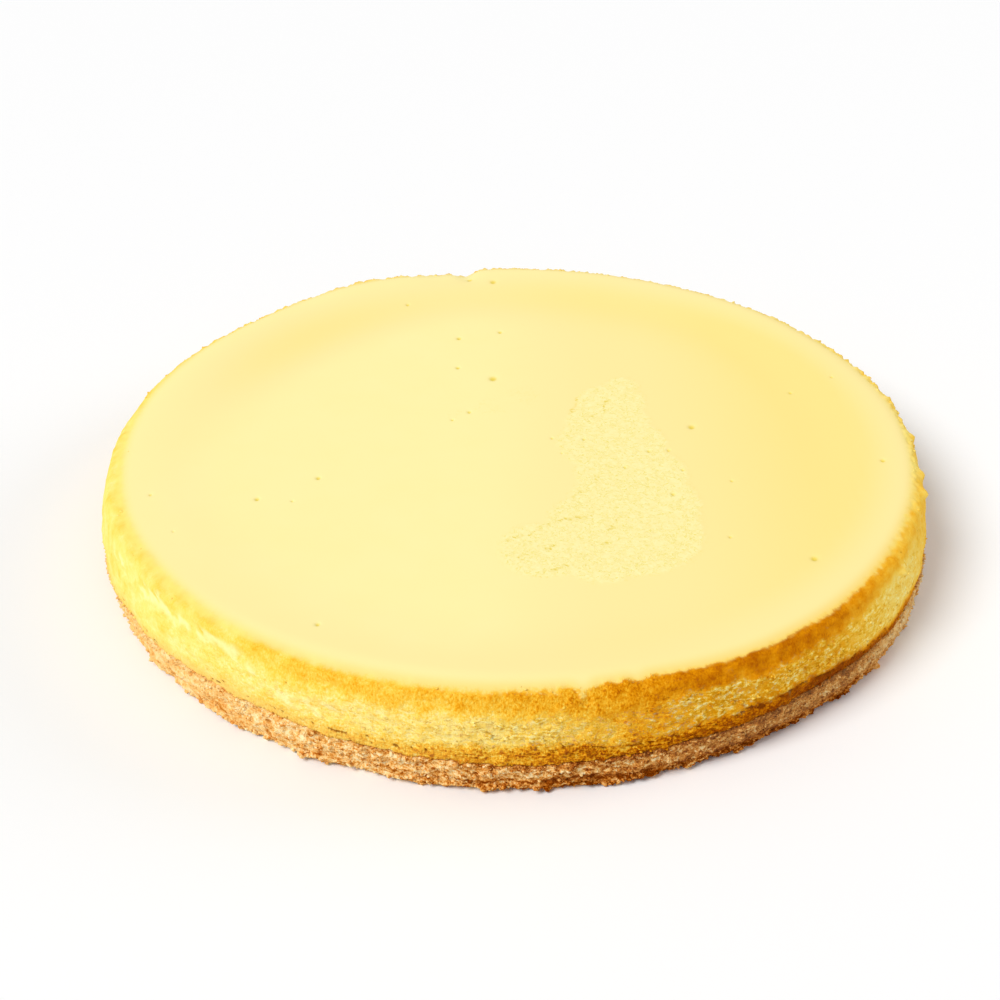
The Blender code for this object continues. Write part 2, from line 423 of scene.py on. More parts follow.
def side_radius(height):
    """Radius of the lower side before it goes out of round."""
    if height >= BELLY_HEIGHT:
        raise ValueError("the crumb layer lies under the belly")
    return BELLY_RADIUS - (BELLY_RADIUS - FOOT_RADIUS) * ((BELLY_HEIGHT - height) / BELLY_HEIGHT) ** 2


def crumb_side(radius, height, angle):
    """Where the crumb layer's side is, and the values that its points carry."""
    above = height / CRUMB_THICKNESS
    on_side = smooth_step((radius - STANDING_RADIUS) / (0.6 * (FOOT_RADIUS - STANDING_RADIUS)))
    edge = on_side * bell(height - RAGGED_EDGE_HEIGHT, RAGGED_EDGE_BAND)
    crag = CRUMB_CRAG * lumps(angle, height, CRUMB_CRAGS_ROUND, CRUMB_CRAG_HEIGHT, seed=23)
    ragged = lumps(angle, np.zeros_like(height), RAGGED_EDGE_CRAGS, CRUMB_CRAG_HEIGHT, seed=31)
    foot = (1.0 - above) * stretch_sum(angle, FOOT_STRETCHES)
    reach = on_side * (crag + foot + stretch_sum(angle, SIDE_STRETCHES))
    reach += edge * RAGGED_EDGE_REACH * ragged

    place = around(radius, angle, height)
    coarse = fractal(place, CLUMP_SIZE, 3, seed=1, flat=0.6)
    grit = fractal(place, GRIT_SIZE, 2, seed=2)
    near, own = cells(place, GRAIN_SIZE, seed=3, flat=0.6)
    grain = (0.5 - near) * (0.4 + own)
    wander = GROOVE_WANDER * fractal(place, 12.0 * MM, 2, seed=4, flat=100.0)
    groove = bell(height - GROOVE_HEIGHT - wander, GROOVE_HALF_WIDTH)
    groove *= smooth_step(stretch_sum(angle, GROOVE_STRETCHES) + 1.1 * coarse)
    grainy = round_the_cake(angle, CRUMB_GRAININESS)
    relief = 0.42 * coarse + (0.2 * grit + 0.6 * grain) * np.minimum(grainy + 0.2, 1.0) - 0.4 * groove
    reach += on_side * relief * MM
    new_height = height + (layer_wave(radius, angle) + join_wobble(radius, angle) * above**3) * above
    tatter = fractal(place * (1.0, 1.0, 0.0), TATTER_SIZE, 3, seed=10)
    new_height += edge * (RAGGED_EDGE_RANGE * ragged + (0.3 + 0.8 * tatter + 0.4 * grain) * MM)
    reach += edge * 0.6 * MM * tatter
    new_height = np.maximum(new_height, 0.0)

    toast_and_shade = round_the_cake(angle, CRUMB_TOAST) + 0.3 * groove - 0.2 * (own - 0.5) - 0.08 * coarse
    # Darker just under the join and paler a little lower; darker at the foot, which is painted shade
    dark = 0.16 * smooth_step((height - 8.6 * MM) / (1.2 * MM)) - 0.2 * bell(height - 6.5 * MM, 1.8 * MM)
    dark += 0.15 * bell(height, 3.0 * MM)
    toast_and_shade += dark * stretch_sum(angle, DARK_CRUMB_STRETCHES)
    # Painted shade: a greyer, duller tint towards the right, which lies in shade
    ashen = within(stretch_sum(angle, ASHEN_STRETCHES))
    loose = on_side * smooth_step(0.6 + coarse) * np.minimum(grainy, 1.0)
    values = {
        "toast_and_shade": toast_and_shade,
        # Painted shade in the low spots of the relief and in the groove
        "painted_hollow_shade": within(0.05 - 0.8 * relief + 0.35 * groove) * on_side * np.minimum(grainy, 1.0),
        "grainy": grainy,
        "ashen": ashen * smooth_step((height - 2.5 * MM) / (2.0 * MM)),
        "grain_share": loose + 0.6 * bell(height - CRUMB_THICKNESS, 0.7 * MM),
        "crag_share": edge * (height > 0.3 * MM),
    }
    return (radius + reach) * out_of_round(angle), new_height, values


def make_crumb_layer():
    """The crumb layer as one closed body: hidden top, craggy side, flat underside."""
    rows = crumb_rows()
    radius, height = (np.repeat(rows[:, part], CRUMB_COLUMNS) for part in (0, 1))
    angle = np.tile(even_turns(CRUMB_COLUMNS), len(rows))
    new_radius, new_height, values = crumb_side(radius, height, angle)
    side = around(new_radius, angle, new_height)

    top_spots = coarse_spots(rows[0, 0], HIDDEN_SPACING)
    foot_spots = coarse_spots(rows[-1, 0], HIDDEN_SPACING)
    spot_radius, spot_angle = radius_and_angle(top_spots)
    top_height = CRUMB_THICKNESS + layer_wave(spot_radius, spot_angle)
    top = around(spot_radius * out_of_round(spot_angle), spot_angle, top_height)
    foot = np.concatenate([foot_spots, np.zeros((len(foot_spots), 1))], axis=1)

    for label, value in values.items():
        hidden = 0.0 if label in ("grain_share", "crag_share") else value.mean()
        values[label] = np.concatenate([value, np.full(len(top) + len(foot), hidden)])
    points = np.concatenate([side, top, foot])
    quads = ring_quads(len(rows), CRUMB_COLUMNS)
    triangles = capping_discs(rows, CRUMB_COLUMNS, top_spots, foot_spots)
    return new_piece("crumb_body", points, quads, triangles, crumb_material(), values)


crumb_body = make_crumb_layer()
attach(crumb_body, "root")
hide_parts("crumb_layer")

# Crumb grains and crags
# Single grains of biscuit stand out all over the crumb layer's side, and larger crags hang from its lower
# edge, where the crumb broke as the tin came off. They are the same baked crumb, some whiter, some browner.

GRAINS = {"Lumps a Square Metre": 1.35e6, "Least Size": 0.4 * MM, "Most Size": 1.2 * MM, "Seed": 5}
CRAGS = {"Lumps a Square Metre": 2.4e5, "Least Size": 0.9 * MM, "Most Size": 2.1 * MM, "Seed": 9}
LUMP_SHAPES = 5


def random_between(tree, kind, low, high, seed):
    """A random number, vector or whole number for each spot."""
    sockets = {"FLOAT_VECTOR": (0, 1, 0), "FLOAT": (2, 3, 1), "INT": (4, 5, 2)}
    low_socket, high_socket, result = sockets[kind]
    inputs = {low_socket: low, high_socket: high, "Seed": seed}
    return add_node(tree, "FunctionNodeRandomValue", inputs, data_type=kind).outputs[result]


def lump_shapes(tree, cuts):
    """A few uneven lumps, 1 across, to pick from."""
    shapes = add_node(tree, "GeometryNodeJoinGeometry")
    for shape in range(LUMP_SHAPES):
        inputs = {"Radius": 0.5, "Subdivisions": cuts}
        ball = add_node(tree, "GeometryNodeMeshIcoSphere", inputs).outputs["Mesh"]
        inputs = {"W": 7.3 * shape, "Scale": 2.3, "Detail": 1.0}
        dents = add_node(tree, "ShaderNodeTexNoise", inputs, noise_dimensions="4D").outputs["Fac"]
        place = add_node(tree, "GeometryNodeInputPosition").outputs["Position"]
        factor = maths(tree, "MULTIPLY_ADD", dents, 1.6, 0.2)
        pushed = add_node(tree, "ShaderNodeVectorMath", {0: place, "Scale": factor}, operation="SCALE")
        inputs = {"Geometry": ball, "Position": pushed.outputs["Vector"]}
        lump = add_node(tree, "GeometryNodeSetPosition", inputs).outputs["Geometry"]
        single = add_node(tree, "GeometryNodeGeometryToInstance", {0: lump}).outputs[0]
        tree.links.new(single, shapes.inputs[0])
    return shapes.outputs[0]


def lump_tree(name, share, cuts, material):
    """Geometry Nodes that scatter uneven lumps over a surface where its points carry a share."""
    tree = bpy.data.node_groups.new(name, "GeometryNodeTree")
    tree.interface.new_socket("Surface", in_out="INPUT", socket_type="NodeSocketGeometry")
    for label in ("Lumps a Square Metre", "Least Size", "Most Size"):
        tree.interface.new_socket(label, in_out="INPUT", socket_type="NodeSocketFloat")
    tree.interface.new_socket("Seed", in_out="INPUT", socket_type="NodeSocketInt")
    tree.interface.new_socket("Lumps", in_out="OUTPUT", socket_type="NodeSocketGeometry")
    given = add_node(tree, "NodeGroupInput").outputs

    weight = add_node(tree, "GeometryNodeInputNamedAttribute", {"Name": share}, data_type="FLOAT")
    density = times(tree, weight.outputs["Attribute"], given["Lumps a Square Metre"])
    inputs = {"Mesh": given["Surface"], "Density": density, "Seed": given["Seed"]}
    spots = add_node(tree, "GeometryNodeDistributePointsOnFaces", inputs, distribute_method="RANDOM")

    turn = random_between(tree, "FLOAT_VECTOR", (-0.5, -0.5, 0.0), (0.5, 0.5, 2.0 * math.pi), 1)
    turned = add_node(tree, "FunctionNodeEulerToRotation", {0: turn}).outputs[0]
    chance = maths(tree, "POWER", random_between(tree, "FLOAT", 0.0, 1.0, 2), 2.0)
    room = maths(tree, "SUBTRACT", given["Most Size"], given["Least Size"])
    size = maths(tree, "MULTIPLY_ADD", chance, room, given["Least Size"])
    uneven = random_between(tree, "FLOAT_VECTOR", (0.8, 0.8, 0.35), (1.5, 1.5, 0.85), 3)
    scale = add_node(tree, "ShaderNodeVectorMath", {0: uneven, "Scale": size}, operation="SCALE")
    inputs = {
        "Points": spots.outputs["Points"],
        "Instance": lump_shapes(tree, cuts),
        "Pick Instance": True,
        "Instance Index": random_between(tree, "INT", 0, LUMP_SHAPES - 1, 4),
        "Rotation": turned,
        "Scale": scale.outputs["Vector"],
    }
    placed = add_node(tree, "GeometryNodeInstanceOnPoints", inputs).outputs["Instances"]
    own = random_between(tree, "FLOAT", -0.22, 0.22, 5)
    inputs = {"Geometry": placed, "Name": "own_shade", "Value": own}
    shaded = add_node(tree, "GeometryNodeStoreNamedAttribute", inputs, domain="INSTANCE", data_type="FLOAT")
    real = add_node(tree, "GeometryNodeRealizeInstances", {0: shaded.outputs["Geometry"]}).outputs[0]

    place = add_node(tree, "GeometryNodeInputPosition").outputs["Position"]
    x, y, z = add_node(tree, "ShaderNodeSeparateXYZ", {0: place}).outputs
    inputs = {0: x, 1: y, 2: maths(tree, "MAXIMUM", z, 0.0)}
    kept_up = add_node(tree, "ShaderNodeCombineXYZ", inputs).outputs[0]
    inputs = {"Geometry": real, "Position": kept_up}
    lifted = add_node(tree, "GeometryNodeSetPosition", inputs).outputs[0]
    inputs = {"Geometry": lifted, "Material": material}
    finished = add_node(tree, "GeometryNodeSetMaterial", inputs).outputs[0]
    add_node(tree, "NodeGroupOutput", {"Lumps": finished})
    return tree


def scatter(name, surface, tree, settings):
    """The lumps of a tree on a copy of a surface, as a plain mesh object."""
    carrier = bpy.data.objects.new("carrier", surface.data.copy())
    bpy.context.scene.collection.objects.link(carrier)
    modifier = carrier.modifiers.new("lumps", "NODES")
    modifier.node_group = tree
    for socket in tree.interface.items_tree:
        if socket.name in settings:
            modifier[socket.identifier] = settings[socket.name]
    depsgraph = bpy.context.evaluated_depsgraph_get()
    mesh = bpy.data.meshes.new_from_object(carrier.evaluated_get(depsgraph), depsgraph=depsgraph)
    bpy.data.objects.remove(carrier)
    mesh.name = name
    mesh.shade_smooth()
    piece = bpy.data.objects.new(name, mesh)
    bpy.context.scene.collection.objects.link(piece)
    return piece


crumb_finish = crumb_body.data.materials[0]
grain_tree = lump_tree("crumb grains", "grain_share", 1, crumb_finish)
crumb_grains = scatter("crumb_grains", crumb_body, grain_tree, GRAINS)
crag_tree = lump_tree("crumb crags", "crag_share", 2, crumb_finish)
crumb_crags = scatter("crumb_crags", crumb_body, crag_tree, CRAGS)
for piece in (crumb_grains, crumb_crags):
    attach(piece, "root")
    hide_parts("crumb_layer")

# Filling
# Set cheese filling, baked until it rose, browned where it touched the tin and sank a little in the middle.
# A thin pale skin covers the top. Down the side the browned crust tore off in places and left it porous.

CREST_RADIUS = 117.5 * MM
CREST_HEIGHT = 30.2 * MM
SHOULDER_REACH = 7.8 * MM
SHOULDER_DROP = 4.2 * MM
SHOULDER_END_ANGLE = math.radians(10.0)
DISH_DEPTH = 1.3 * MM
DISH_FLOOR_RADIUS = 92.0 * MM
LAYER_GAP = 0.3 * MM
UNDERSIDE_HEIGHT = CRUMB_THICKNESS + LAYER_GAP
TUCKED_IN = 1.5 * MM
PROFILE_STEPS = 40
FILLING_COLUMNS = 1300
FILLING_ROW = 0.56 * MM
FINEST_GRID = 0.25 * MM
GRID_LEVELS = 5

SIDE_LUMP = 0.45 * MM
SIDE_LUMP_HEIGHT = 3.5 * MM
SIDE_LUMPS_ROUND = 61

# Where the rim stands higher or lower
RIM_STRETCHES = (
    (-95, 32, 0.8 * MM),  # crisp front edge
    (-160, 24, -1.5 * MM),  # soft slumped left shoulder
    (120, 9, 1.1 * MM),  # raised back left
    (103, 5, -1.3 * MM),  # dip in the back rim
    (99, 1.8, -2.2 * MM),  # nick in that dip
    (46, 12, 0.6 * MM),  # raised back right
)
RIM_STRETCH_START = 106.0 * MM

# Flakes that stand out of the shoulder: angle in degrees, height, reach
RIM_FLAKES = (
    (1.5, 27.5 * MM, 1.5 * MM),
    (-8.5, 27.0 * MM, 1.5 * MM),
    (-13.5, 27.0 * MM, 2.0 * MM),
    (-31.0, 24.0 * MM, 1.8 * MM),
)
FLAKE_HALF_WIDTH = math.radians(1.1)
FLAKE_HALF_HEIGHT = 1.4 * MM

# From this angle on, round the front, the rim is crisp
CRISP_RIM_START = math.radians(-124.0)
CRACK_HALF_WIDTH = 0.42 * MM
STREAK_HALF_WIDTH = 2.6 * MM
SIDE_PORE_SIZE = 1.5 * MM
TOP_PORE_SIZE = 1.25 * MM
HAIR_HALF_WIDTH = 0.5 * MM

# Stretches of the side with short drips, dots, a crack over the lower band, a tan, more colour at the
# join, a ragged edge of the skin and warmer skin near the rim
DRIP_STRETCHES = ((-12, 42, 1), (-155, 30, 1.2))
DOT_STRETCHES = ((-80, 22, 0.4), (-50, 24, 0.3), (110, 70, 0.35))
CRACK_STRETCHES = ((-64, 28, 1), (100, 50, 0.7))
TAN_STRETCHES = ((-135, 26, 1.1),)
JOIN_STRETCHES = ((-70, 34, 1.3),)
RAGGED_STRETCHES = ((100, 64, 1), (8, 34, 0.7), (-82, 9, 0.7))
WARM_STRETCHES = ((140, 26, 0.45), (90, 70, 0.45))

# The torn patch on the top, as overlapping rounds in mm: x, y, radius, how rough
TORN_ROUNDS = (
    (35, 33, 5, 1), (31, 22, 10, 1), (29.5, 9, 12, 1), (30, -4, 15, 1), (35, -22, 15, 1),
    (35, -38, 17, 1), (31, -52, 20, 1), (24, -68, 9, 1), (9, -62, 12, 1), (2, 26, 5, 0.4),
    (-8, 18, 5, 0.4), (-18, 12, 4, 0.3),
)

# Hair cracks at the patch's left and lower edges in mm
HAIR_CRACKS = (
    ((-2.5, -57.5), (4.3, -53.9), (7.7, -50.9), (9.4, -48.8), (14.3, -46.7), (20.1, -45.6), (23.7, -43)),
    ((0.9, -66.3), (4.2, -64.4), (8.4, -62.4), (11.5, -60.4)),
    ((6.3, -74.3), (8.2, -72.9), (11.8, -71), (14.1, -69.1)),
    ((26.4, -53.3), (28.3, -49.2), (29.9, -46)),
    ((24.9, -59.8), (25.9, -57.3)),
    ((24.1, -25.6), (25.7, -22.8)),
    ((16.6, -36.6), (17.6, -33.4), (19.4, -31.7)),
    ((17.1, 14), (19.2, 19.8), (20.3, 25.1)),
    ((28.4, 16.6), (30.3, 23.2)),
    ((23, 10.2), (25, 13.4)),
)

# Small pits in the skin where bubbles broke, in mm: x, y, radius
PITS = (
    (-75.3, -36.6, 0.9), (-64.9, -37.6, 0.5), (-106.6, -35.8, 0.6), (-96.3, -55, 0.4),
    (-58.7, -24.9, 0.9), (-51.1, -98.2, 0.8), (-39, 92.3, 0.8), (-19.7, 66.4, 1), (-5.5, 71.1, 0.9),
    (-19.4, 45, 0.9), (-7.5, 37.4, 1.6), (-14.9, 15.2, 0.8), (-20.2, 10.1, 0.6), (-8.5, 109.9, 1.4),
    (-17.2, 113.3, 1.2), (55.6, 6.3, 1.3), (64.6, -25.6, 0.6), (90, 28.6, 0.7), (104.9, 37.6, 0.6),
    (111.5, -15.5, 0.9), (120.3, -10.8, 1.4), (82.5, -66.8, 1.2), (60.7, -55.3, 0.6), (11.4, -1.1, 0.6),
    (21.3, -1.6, 0.7), (14.3, -10.1, 0.4), (33.1, -18.1, 0.6), (41, -8.7, 0.7), (47.2, -8.1, 0.7),
    (50.5, -19.7, 0.6), (46.4, -33.1, 0.8),
)

# Where the pale skin ends on the shoulder round the cake, how ragged that edge is and how softly it fades
SKIN_RADIUS = 123.3 * MM
SKIN_STRETCHES = (
    (-170, 22, -2.0 * MM),
    (-143, 15, -1.6 * MM),
    (-104, 26, 0.5 * MM),
    (-28, 20, -1.5 * MM),
    (-74, 8, -0.9 * MM),
    (-82, 1, 1.4 * MM),
    (-75.5, 0.9, 0.9 * MM),
)
SKIN_FRAY_MM = (
    (-180, 0.3), (-125, 0.25), (-122, 0.2), (-95, 0.25), (-84, 0.6), (-76, 0.55), (-71, 0.25),
    (-52, 0.3), (-42, 0.5), (-8, 0.5), (30, 0.6), (90, 0.5),
)
SKIN_FADE_MM = (
    (-180, 2.4), (-156, 2.6), (-132, 2.2), (-124.5, 1.4), (-122, 0.8), (-90, 0.9), (-62, 0.9),
    (-48, 1.1), (-36, 1.4), (-20, 2), (10, 2.2), (40, 1.6), (90, 0.9), (140, 1.4), (160, 2),
)

# The crust stayed whole in an upper and a lower band, which meet the torn middle at these heights
UPPER_EDGE_MM = (
    (-180, 23), (-150, 24.5), (-125, 23), (-111, 23), (-97, 22.6), (-84, 23), (-77, 22.8), (-70, 24.2),
    (-64, 24), (-58, 23.2), (-48, 24.2), (-36, 25.2), (-25, 26), (0, 26), (30, 24.5), (90, 23.5),
)
LOWER_EDGE_MM = (
    (-180, 12), (-147, 13.2), (-126, 15), (-119, 14.5), (-111, 13.5), (-104, 13.2), (-97, 14),
    (-87, 14.5), (-76, 14.2), (-67, 15), (-58, 15.6), (-48, 15.3), (-36, 13.4), (-25, 13.2), (0, 13),
    (90, 13), (150, 12),
)
BAND_FADE_MM = (
    (-180, 5), (-120, 5), (-100, 4.5), (-85, 4.6), (-70, 3), (-52, 3.2), (-38, 4), (-20, 4.5), (90, 4),
)

# How brown those bands are and how much of the middle is torn: 0 pale yellow or whole, 1 deep brown or torn
# The deeper brown towards the front right is partly the crust's own colour and partly painted shade
UPPER_BAKE_AND_SHADE = (
    (-180, 0.2), (-160, 0.2), (-150, 0.21), (-138, 0.26), (-126, 0.31), (-122.5, 0.36), (-102, 0.5),
    (-91, 0.55), (-80, 0.71), (-68, 0.86), (-56, 0.89), (-46, 0.8), (-36, 0.58), (-25, 0.45),
    (-15, 0.36), (-5, 0.26), (30, 0.32), (70, 0.44), (120, 0.46),
)
MIDDLE_BAKE_AND_SHADE = (
    (-180, 0.18), (-140, 0.17), (-115, 0.22), (-97, 0.16), (-90, 0.26), (-84, 0.44), (-76, 0.72),
    (-70, 0.78), (-60, 0.84), (-48, 0.8), (-40, 0.42), (-34, 0.2), (-26, 0.3), (-20, 0.46), (-10, 0.46),
    (0, 0.38), (90, 0.36),
)
LOWER_BAKE_AND_SHADE = (
    (-180, 0.3), (-146, 0.2), (-128, 0.28), (-112, 0.44), (-98, 0.62), (-87, 0.8), (-76, 0.86),
    (-68, 0.96), (-60, 1.06), (-48, 1.22), (-38, 1.08), (-30, 0.86), (-22, 0.78), (0, 0.62), (30, 0.62),
    (100, 0.7), (150, 0.5),
)
TORN = (
    (-180, 0.15), (-150, 0), (-125, 0.05), (-106, 0.25), (-97, 0.45), (-91, 0.6), (-86, 0.6),
    (-81, 0.42), (-75, 0.3), (-71, 0.5), (-66, 0.72), (-55, 0.72), (-46, 0.7), (-38, 0.75), (-28, 0.6),
    (-20, 0.3), (-12, 0.2), (10, 0.3), (90, 0.6), (140, 0.4),
)

# How strongly the crust's grain shows round the cake
GRAININESS = (
    (-180, 0.22), (-135, 0.28), (-126, 0.45), (-111, 0.75), (-97, 0.9), (-82, 1), (-75, 0.75),
    (-69, 0.42), (-62, 0.28), (-10, 0.3), (30, 0.6), (90, 0.9), (150, 0.5),
)

# How strongly the middle and lower side is wrinkled and flaked round the cake
WRINKLES = (
    (-180, 0.25), (-140, 0.2), (-126, 0.6), (-112, 0.9), (-95, 1.2), (-70, 1.2), (-58, 0.8), (-46, 0.4),
    (-36, 0.25), (-10, 0.25), (20, 0.5), (90, 0.8),
)

# The pale streak where the left side split as it rose, partly pale cheese and partly a painted highlight on
# its crests
STREAK_HEIGHT_MM = (
    (-180, 22.5), (-153, 23.2), (-144, 24.2), (-127, 24.8), (-122.6, 21.4), (-115.6, 17.8),
    (-111, 18.7), (-105, 18.1),
)
STREAK_STRENGTH = ((-158, 0), (-152, 1), (-112, 1), (-102, 0))


def filling_rows():
    """Over the shoulder from the crest, down the side to the crumb layer, and in under the filling."""
    profile = []
    for step in range(PROFILE_STEPS + 1):
        angle = 0.5 * math.pi + (SHOULDER_END_ANGLE - 0.5 * math.pi) * step / PROFILE_STEPS
        radius = CREST_RADIUS + SHOULDER_REACH * math.cos(angle)
        profile.append((radius, CREST_HEIGHT - SHOULDER_DROP * (1.0 - math.sin(angle))))
    shoulder_radius, shoulder_height = profile[-1]
    for step in range(1, PROFILE_STEPS + 1):
        height = shoulder_height + (UNDERSIDE_HEIGHT - shoulder_height) * step / PROFILE_STEPS
        if height >= BELLY_HEIGHT:
            share = (shoulder_height - height) / (shoulder_height - BELLY_HEIGHT)
            radius = shoulder_radius + (BELLY_RADIUS - shoulder_radius) * math.sin(0.5 * math.pi * share)
        else:
            radius = side_radius(height)
        profile.append((radius, height))
    profile.append((profile[-1][0] - TUCKED_IN, UNDERSIDE_HEIGHT))
    return even_rows(profile, FILLING_ROW)


def rim_lift(radius, angle):
    """How far the top rises or falls near the rim."""
    fade = smooth_step((radius - RIM_STRETCH_START) / (CREST_RADIUS + SHOULDER_REACH - RIM_STRETCH_START))
    return fade * stretch_sum(angle, RIM_STRETCHES)


def flake_reach(angle, height):
    """How far the flakes stand out of the shoulder."""
    reach = np.zeros_like(angle)
    for middle, level, length in RIM_FLAKES:
        round_it = bell(turn_between(angle, math.radians(middle)), FLAKE_HALF_WIDTH)
        reach += length * round_it * bell(height - level, FLAKE_HALF_HEIGHT)
    return reach


def torn_share(x, y):
    """How rough the top is at a place, 0 to 1."""
    share = np.zeros_like(x)
    for middle_x, middle_y, radius, rough in TORN_ROUNDS:
        distance = np.hypot(x - middle_x * MM, y - middle_y * MM)
        share = np.maximum(share, rough * smooth_step((radius * 1.15 * MM - distance) / (4.0 * MM) + 0.5))
    return share


def pit_share(x, y):
    """How deep in a pit of the skin a place is, 0 to 1."""
    share = np.zeros_like(x)
    for middle_x, middle_y, radius in PITS:
        distance = np.hypot(x - middle_x * MM, (y - middle_y * MM) * 0.8)
        share = np.maximum(share, bell(distance, 0.85 * radius * MM) * min(1.0, 0.5 + 0.5 * radius))
    return share


def crack_share(x, y):
    """How deep in a hair crack a place is, 0 to 1."""
    share = np.zeros_like(x)
    for crack in HAIR_CRACKS:
        for start, end in zip(np.array(crack[:-1]) * MM, np.array(crack[1:]) * MM):
            run = end - start
            along = np.clip(((x - start[0]) * run[0] + (y - start[1]) * run[1]) / (run @ run), 0.0, 1.0)
            distance = np.hypot(x - start[0] - along * run[0], y - start[1] - along * run[1])
            share = np.maximum(share, bell(distance, HAIR_HALF_WIDTH))
    return share


def top_spots():
    """Points of the top, close in the torn patch, in pits and at the rim, and wide apart elsewhere."""
    half = int(CREST_RADIUS / FINEST_GRID) + 1
    across = np.arange(-half, half + 1)
    column, row = (part.ravel() for part in np.meshgrid(across, across))
    x, y = column * FINEST_GRID, row * FINEST_GRID
    to_rim = CREST_RADIUS - np.hypot(x, y)
    wanted = np.minimum(4.0 * MM, 0.45 * MM + 0.45 * np.maximum(to_rim, 0.0))
    wanted = np.where(torn_share(x, y) > 0.02, np.minimum(wanted, 0.55 * MM), wanted)
    for middle_x, middle_y, radius in PITS:
        distance = np.hypot(x - middle_x * MM, y - middle_y * MM) - 1.6 * radius * MM
        wanted = np.minimum(wanted, 0.27 * MM + 0.5 * np.maximum(distance, 0.0))
    keep = np.zeros(len(x), bool)
    for level in range(GRID_LEVELS + 1):
        step = 2**level
        spacing = step * FINEST_GRID
        on_grid = (column % step == 0) & (row % step == 0)
        if level < GRID_LEVELS:
            keep |= on_grid & (wanted <= spacing * 1.1) & (to_rim > 0.45 * spacing)
        else:
            keep |= on_grid & (to_rim > 0.6 * spacing)
    return np.stack([x[keep], y[keep]], axis=1)


def side_bands(angle, level, place, bare):
    """How baked and how torn the side is at a height, with painted shade at the front right, and where its
    cracks, streak and pores are.
    """
    coarse = fractal(place, 5.0 * MM, 3, seed=5)
    flaky = fractal(place, 2.6 * MM, 4, seed=6, flat=0.5)
    drips = fractal(place, 4.4 * MM, 3, seed=14, flat=100.0)
    fade = round_the_cake(angle, BAND_FADE_MM) * MM
    drip_length = 1.3 - stretch_sum(angle, DRIP_STRETCHES)
    upper_edge = (round_the_cake(angle, UPPER_EDGE_MM) + 0.6 * coarse + drip_length * drips) * MM
    lower_edge = (round_the_cake(angle, LOWER_EDGE_MM) + 0.7 * coarse) * MM
    upper = smooth_step((level - upper_edge) / fade + 0.5)
    lower = smooth_step((lower_edge - level) / (0.8 * fade + 0.8 * MM) + 0.5)
    middle = within(1.0 - upper - lower)
    crisp = smooth_step(turn_between(angle, CRISP_RIM_START) * 20.0)
    rim = 0.05 * crisp * bell(level - 28.5 * MM, 2.6 * MM)
    rim += 0.03 * (1.0 - crisp) * bell(level - 27.0 * MM, 2.2 * MM)
    # Browner towards the front right: partly the crust's own colour, partly painted shade
    bake_and_shade = round_the_cake(angle, UPPER_BAKE_AND_SHADE) * upper + round_the_cake(angle, LOWER_BAKE_AND_SHADE) * lower
    bake_and_shade += round_the_cake(angle, MIDDLE_BAKE_AND_SHADE) * middle + rim + 0.08 * coarse + 0.06 * flaky
    torn = round_the_cake(angle, TORN) * middle + 0.3 * flaky * within(middle + 0.15)

    near, own = cells(place, SIDE_PORE_SIZE, seed=8, flat=0.5)
    dotted = stretch_sum(angle, DOT_STRETCHES) * bell(level - lower_edge + 2.0 * MM, 2.6 * MM)
    share = 0.02 + 0.25 * within(torn) + 0.7 * dotted
    pore = smooth_step((0.42 - near) / 0.3) * (own < share)
    wander = 0.5 * MM * fractal(place, 7.0 * MM, 2, seed=9, flat=100.0)
    crack = bell(level - lower_edge - wander + 0.8 * MM, CRACK_HALF_WIDTH)
    crack *= smooth_step(stretch_sum(angle, CRACK_STRETCHES) + 1.6 * flaky - 0.5)
    streak_height = (round_the_cake(angle, STREAK_HEIGHT_MM) + 0.9 * coarse + 0.5 * flaky) * MM
    run = angle * BELLY_RADIUS
    slanted = np.stack([0.5 * run, level + 0.3 * run, np.zeros_like(run)], axis=1)
    strands = fractal(slanted + (0.35 * coarse * MM)[:, None], 2.2 * MM, 2, seed=19)
    strength = round_the_cake(angle, STREAK_STRENGTH)
    streak = bell(level - streak_height, STREAK_HALF_WIDTH)
    streak *= smooth_step(0.5 + 0.9 * strands + 0.5 * coarse)
    streak *= strength
    step_up = smooth_step((level - streak_height) / MM) * strength
    grainy = round_the_cake(angle, GRAININESS)
    wrinkled = round_the_cake(angle, WRINKLES) * (1.0 - upper)
    relief = 0.16 * coarse + 0.12 * flaky * grainy + 0.25 * step_up + 0.15 * streak
    torn_relief = within(torn) * (0.3 * flaky - 0.25) * (0.3 + 0.6 * wrinkled)
    relief += 0.15 * wrinkled * flaky + torn_relief
    relief -= 0.4 * pore + 0.6 * crack
    values = {
        "bake_and_shade": bake_and_shade,
        "torn": torn * bare,
        "pore": pore * bare,
        "crack": within(crack + pore * lower) * bare,
        "streak": streak * bare,
        "grainy": grainy + (np.minimum(grainy + 0.5, 1.3) - grainy) * lower,
        "wrinkled": wrinkled * bare,
        "dotted": within(1.8 * dotted + 0.1 * wrinkled) * bare,
        "tan": lower * within(stretch_sum(angle, TAN_STRETCHES)),
    }
    return relief * bare, values


